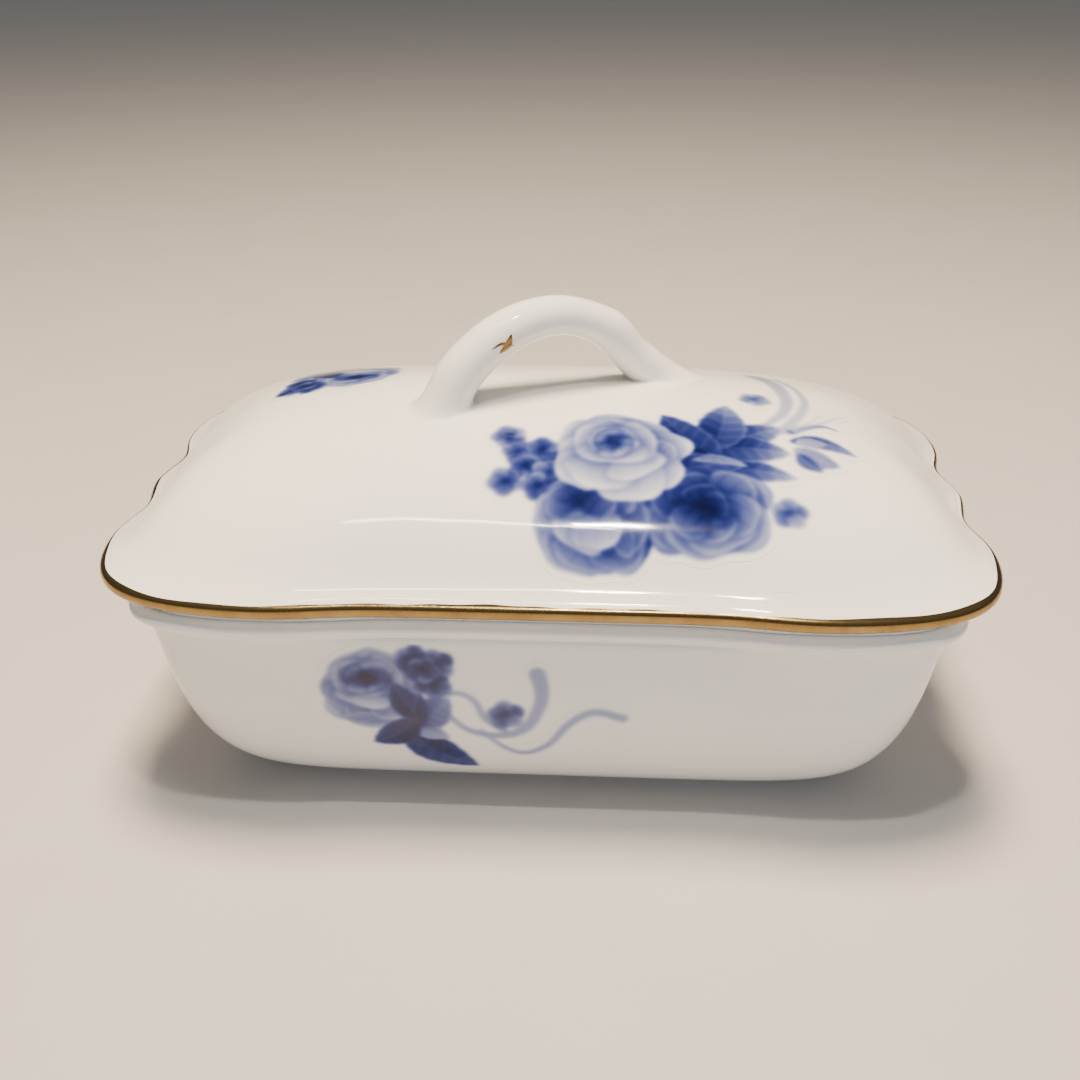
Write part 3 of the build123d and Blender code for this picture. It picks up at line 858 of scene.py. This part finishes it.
def on_dish(x, up):
    """On the dish's front wall: the film's up runs up the wall, over the turn of the heel."""
    heights = np.linspace(3.0, 49.0, 400)
    rows = np.array([dish_row(height) for height in heights])
    run = np.concatenate([[0], np.cumsum(np.hypot(np.diff(heights), np.diff(rows[:, 1])))])
    run -= np.interp(SPRAY_Z, heights, run)
    z = np.interp(up, run, heights)
    where = x + SPRAY_X

    def wall(x_at, z_at):
        half_length, half_width, corner, waist = [
            np.interp(z_at, heights, rows[:, column]) for column in (0, 1, 3, 5)
        ]
        straight = half_width * (1 - np.abs(x_at / half_length) ** corner) ** (1 / corner)
        return -straight * (1 - waist * pinch(x_at, half_length) / half_width)

    y = wall(where, z)
    step = SLOPE_STEP
    normal = np.stack([(wall(where + step, z) - wall(where - step, z)) / (2 * step), -np.ones_like(y),
                       (wall(where, z + step) - wall(where, z - step)) / (2 * step)], axis=1)
    normal /= np.linalg.norm(normal, axis=1)[:, None]
    return np.stack([where, y, z], axis=1) + FILM_LIFT * normal


lay_film(small_spray(), "dish_front_print", on_dish, "dish")
lay_film(small_spray(), "dish_back_print", on_dish, "dish", turned=True)

# On the lid's far side the smaller spray again, without its ribbons, high up near the crown
BACK_SHIFT = (45.5, 21.5)


def on_lid_back(x, up):
    """The spray's place on the lid, before it is turned round to the far side."""
    return on_lid(x + BACK_SHIFT[0], up + BACK_SHIFT[1])


lay_film(small_spray(ribbons=False), "lid_back_print", on_lid_back, "lid", turned=True)

# ---------------------------------------------------------------------------------------------
# The room: a pale matt table top, a dim sky, soft boxes overhead and a camera at eye height. The
# wide boxes light the pieces but don't show in the glaze; the strip and the bulb do, as the thin
# bright lines that a wet gloss gives.
# ---------------------------------------------------------------------------------------------
FLOOR_HALF = 4.0
floor_mesh = bpy.data.meshes.new("table_top")
floor_mesh.from_pydata(
    [(-FLOOR_HALF, -FLOOR_HALF, 0), (FLOOR_HALF, -FLOOR_HALF, 0),
     (FLOOR_HALF, FLOOR_HALF, 0), (-FLOOR_HALF, FLOOR_HALF, 0)],
    [], [(0, 1, 2, 3)],
)
floor = bpy.data.objects.new("table_top", floor_mesh)
bpy.context.collection.objects.link(floor)
# Pale and matt, with the faintest clouding, so it takes a soft shadow and mirrors nothing
paper = bpy.data.materials.new("pale_matt_table")
paper.use_nodes = True
tree = paper.node_tree
place = add_node(tree, "ShaderNodeTexCoord")
tooth = add_node(tree, "ShaderNodeTexNoise", {"Scale": 1 / (40 * MM), "Detail": 4.0},
                 {"Vector": (place, "Object")})
shade = add_node(tree, "ShaderNodeMix", {"data_type": "RGBA"}, {"Factor": (tooth, "Fac")})
shade.inputs[6].default_value = linear("#c9c7c3")
shade.inputs[7].default_value = linear("#c3c0bb")
tree.links.new(shade.outputs[2], tree.nodes["Principled BSDF"].inputs["Base Color"])
tree.nodes["Principled BSDF"].inputs["Roughness"].default_value = 0.6
floor_mesh.materials.append(paper)

world = bpy.data.worlds.new("studio")
world.use_nodes = True
# The room is dim round the table and brighter overhead
tree = world.node_tree
sky = add_node(tree, "ShaderNodeTexCoord")
upward = add_node(tree, "ShaderNodeSeparateXYZ", {}, {"Vector": (sky, "Generated")})
blend = add_node(tree, "ShaderNodeMapRange", {"From Min": -0.1, "From Max": 0.9},
                 {"Value": (upward, "Z")})
glow = add_node(tree, "ShaderNodeMix", {"data_type": "RGBA"}, {"Factor": (blend, "Result")})
glow.inputs[6].default_value = linear("#8f8a83")
glow.inputs[7].default_value = linear("#eef0f4")
tree.links.new(glow.outputs[2], tree.nodes["Background"].inputs["Color"])
tree.nodes["Background"].inputs["Strength"].default_value = 0.30
bpy.context.scene.world = world


def soft_box(name, at, aim, size, power, colour, mirrored):
    """An area lamp at a place in millimetres, turned to face another; mirrored ones show in gloss."""
    lamp = bpy.data.lights.new(name, "AREA")
    lamp.shape = "RECTANGLE"
    lamp.size, lamp.size_y = size[0] * MM, size[1] * MM
    lamp.energy = power
    lamp.color = linear(colour)[:3]
    holder = bpy.data.objects.new(name, lamp)
    bpy.context.collection.objects.link(holder)
    away = np.array(at, float) - np.array(aim, float)
    holder.visible_glossy = mirrored
    holder.location = tuple(np.array(at) * MM)
    holder.rotation_euler = (math.atan2(math.hypot(away[0], away[1]), away[2]), 0,
                             math.atan2(away[1], away[0]) + math.pi / 2)


soft_box("overhead", (-40, -10, 900), (0, 0, 60), (260, 220), 21, "#ffe3bf", False)
soft_box("strip", (-70, -190, 700), (0, -20, 70), (200, 8), 0.5, "#fff6e8", True)
soft_box("bulb", (16, -196, 700), (0, -20, 70), (52, 16), 1.6, "#fff6e8", True)
soft_box("front_fill", (400, -900, 260), (0, 0, 40), (500, 500), 3.0, "#dfe8ff", False)

camera_data = bpy.data.cameras.new("camera")
camera_data.sensor_width = 36.0
camera_data.lens = 41.46
camera = bpy.data.objects.new("camera", camera_data)
bpy.context.collection.objects.link(camera)
camera.location = (12.55 * MM, -263.9 * MM, 179.6 * MM)
camera.rotation_euler = (math.radians(90 - 27.33), math.radians(0.27), math.radians(3.22))
bpy.context.scene.camera = camera
